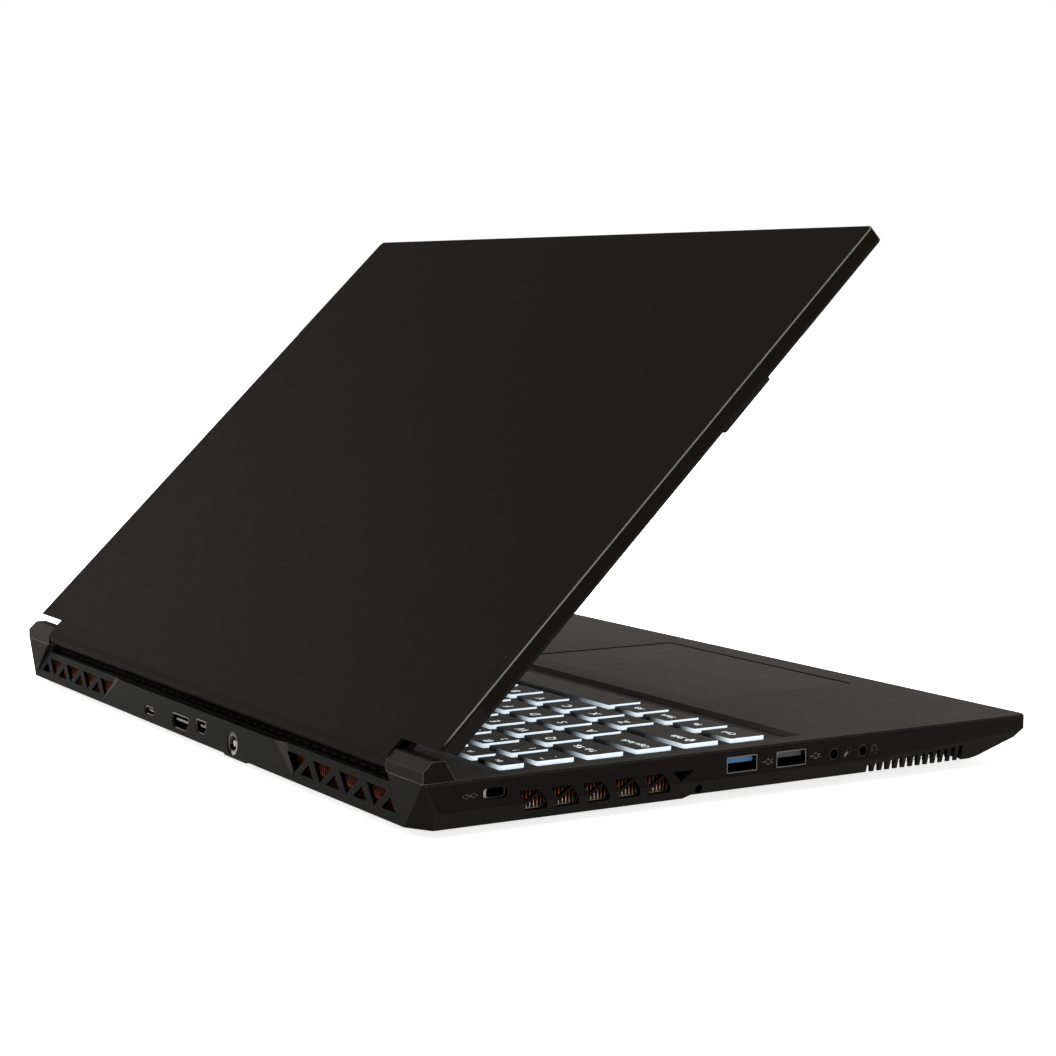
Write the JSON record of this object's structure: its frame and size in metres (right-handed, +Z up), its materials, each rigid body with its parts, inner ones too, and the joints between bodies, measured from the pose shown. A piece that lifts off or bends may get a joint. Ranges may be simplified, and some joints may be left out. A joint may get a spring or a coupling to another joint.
{
  "type": "laptop computer",
  "caption": "Dark clamshell laptop with a half-open lid on a rear hinge, full lit keyboard with number pad, touchpad, triangular exhaust vents and side and rear ports.",
  "frame": {"origin": "on the resting plane under the feet, below the middle of the footprint", "axes": "+X to the user's right along the width, +Y from the front edge to the hinge side, +Z up"},
  "size_m": [0.361, 0.2588, 0.1976],
  "materials": {
    "case_lower": "fine moulded texture",
    "case_upper": "fine moulded texture, satin",
    "lid_shell": "matt painted sheet",
    "bezel_plastic": "matt moulded",
    "screen_glass": "dark display, switched off",
    "keycaps": "dark painted tops on white light-guiding bodies",
    "key_plate": "matt black",
    "touchpad_face": "smooth matt",
    "button_metal": "brushed",
    "copper": "copper, dull",
    "circuit_board": "green laminate",
    "chip": "silicon",
    "fan_plastic": "black",
    "cell_wrap": "black wrap",
    "speaker_plastic": "black",
    "steel": "plain",
    "port_shell": "bright plated",
    "blue_insulator": "blue",
    "black_insulator": "black",
    "foot_rubber": "matt"
  },
  "bodies": {
    "base": {"battery_pack": "cell_wrap", "bottom_cover": "case_lower", "bottom_screws": "steel", "card_slot": "black_insulator", "headphone_jack": "black_insulator", "heat_pipes": "copper", "keyboard_plate": "key_plate", "left_cooling_fins": "copper", "left_fan_housing": "fan_plastic", "left_front_data_port": "port_shell", "left_front_port_tongue": "black_insulator", "left_hinge_bracket": "steel", "left_hinge_cap": "case_upper", "left_rear_data_port": "port_shell", "left_rear_port_tongue": "blue_insulator", "left_speaker": "speaker_plastic", "lock_slot_plate": "steel", "memory_modules": "circuit_board", "microphone_jack": "black_insulator", "mini_video_port": "port_shell", "motherboard": "circuit_board", "palmrest_cover": "case_upper", "power_jack": "black_insulator", "processor_chips": "chip", "reversible_port": "port_shell", "right_cooling_fins": "copper", "right_data_port": "port_shell", "right_fan_housing": "fan_plastic", "right_hinge_bracket": "steel", "right_hinge_cap": "case_upper", "right_speaker": "speaker_plastic", "rubber_feet": "foot_rubber", "storage_module": "circuit_board", "touchpad_bracket": "steel", "video_port": "port_shell", "wireless_card": "circuit_board"},
    "lid": {"lid_back_cover": "lid_shell", "display_bezel": "bezel_plastic", "display_panel": "screen_glass", "webcam_module": "circuit_board", "antennas": "circuit_board", "left_hinge_leaf": "steel", "right_hinge_leaf": "steel", "bezel_bumpers": "foot_rubber", "hinge_pins": "steel"},
    "function_row_keys": {"function_row_keys": "keycaps"},
    "number_row_keys": {"number_row_keys": "keycaps"},
    "upper_row_keys": {"upper_row_keys": "keycaps"},
    "home_row_keys": {"home_row_keys": "keycaps"},
    "lower_row_keys": {"lower_row_keys": "keycaps"},
    "modifier_keys": {"modifier_keys": "keycaps"},
    "space_bar": {"space_bar": "keycaps"},
    "arrow_keys": {"arrow_keys": "keycaps"},
    "number_pad_keys": {"number_pad_keys": "keycaps"},
    "touchpad": {"touchpad": "touchpad_face"},
    "power_button": {"power_button": "button_metal"},
    "left_fan_rotor": {"left_fan_rotor": "fan_plastic"},
    "right_fan_rotor": {"right_fan_rotor": "fan_plastic"}
  },
  "joints": [
    {"name": "lid_hinge", "type": "hinge", "parent": "base", "child": "lid", "pos_m": [0, 0.12475, 0.0219], "axis": [-1, 0, 0], "range_deg": [-44, 85.7]},
    {"name": "function_row_keys_press", "type": "slide", "parent": "base", "child": "function_row_keys", "axis": [0, 0, -1], "range_m": [0, 0.0013], "stiffness_N_per_m": 400, "springref_m": -0.0006},
    {"name": "number_row_keys_press", "type": "slide", "parent": "base", "child": "number_row_keys", "axis": [0, 0, -1], "range_m": [0, 0.0013], "stiffness_N_per_m": 400, "springref_m": -0.0006},
    {"name": "upper_row_keys_press", "type": "slide", "parent": "base", "child": "upper_row_keys", "axis": [0, 0, -1], "range_m": [0, 0.0013], "stiffness_N_per_m": 400, "springref_m": -0.0006},
    {"name": "home_row_keys_press", "type": "slide", "parent": "base", "child": "home_row_keys", "axis": [0, 0, -1], "range_m": [0, 0.0013], "stiffness_N_per_m": 400, "springref_m": -0.0006},
    {"name": "lower_row_keys_press", "type": "slide", "parent": "base", "child": "lower_row_keys", "axis": [0, 0, -1], "range_m": [0, 0.0013], "stiffness_N_per_m": 400, "springref_m": -0.0006},
    {"name": "modifier_keys_press", "type": "slide", "parent": "base", "child": "modifier_keys", "axis": [0, 0, -1], "range_m": [0, 0.0013], "stiffness_N_per_m": 400, "springref_m": -0.0006},
    {"name": "space_bar_press", "type": "slide", "parent": "base", "child": "space_bar", "axis": [0, 0, -1], "range_m": [0, 0.0013], "stiffness_N_per_m": 400, "springref_m": -0.0006},
    {"name": "arrow_keys_press", "type": "slide", "parent": "base", "child": "arrow_keys", "axis": [0, 0, -1], "range_m": [0, 0.0013], "stiffness_N_per_m": 400, "springref_m": -0.0006},
    {"name": "number_pad_keys_press", "type": "slide", "parent": "base", "child": "number_pad_keys", "axis": [0, 0, -1], "range_m": [0, 0.0013], "stiffness_N_per_m": 400, "springref_m": -0.0006},
    {"name": "touchpad_click", "type": "slide", "parent": "base", "child": "touchpad", "axis": [0, 0, -1], "range_m": [0, 0.00035], "stiffness_N_per_m": 2500, "springref_m": -0.0006},
    {"name": "power_button_press", "type": "slide", "parent": "base", "child": "power_button", "axis": [0, 0, -1], "range_m": [0, 0.0006], "stiffness_N_per_m": 500, "springref_m": -0.0005},
    {"name": "left_fan_spin", "type": "hinge", "parent": "base", "child": "left_fan_rotor", "pos_m": [-0.122, 0.07055, 0.0087], "axis": [0, 0, 1], "continuous": true},
    {"name": "right_fan_spin", "type": "hinge", "parent": "base", "child": "right_fan_rotor", "pos_m": [0.122, 0.07055, 0.0087], "axis": [0, 0, 1], "continuous": true}
  ]
}
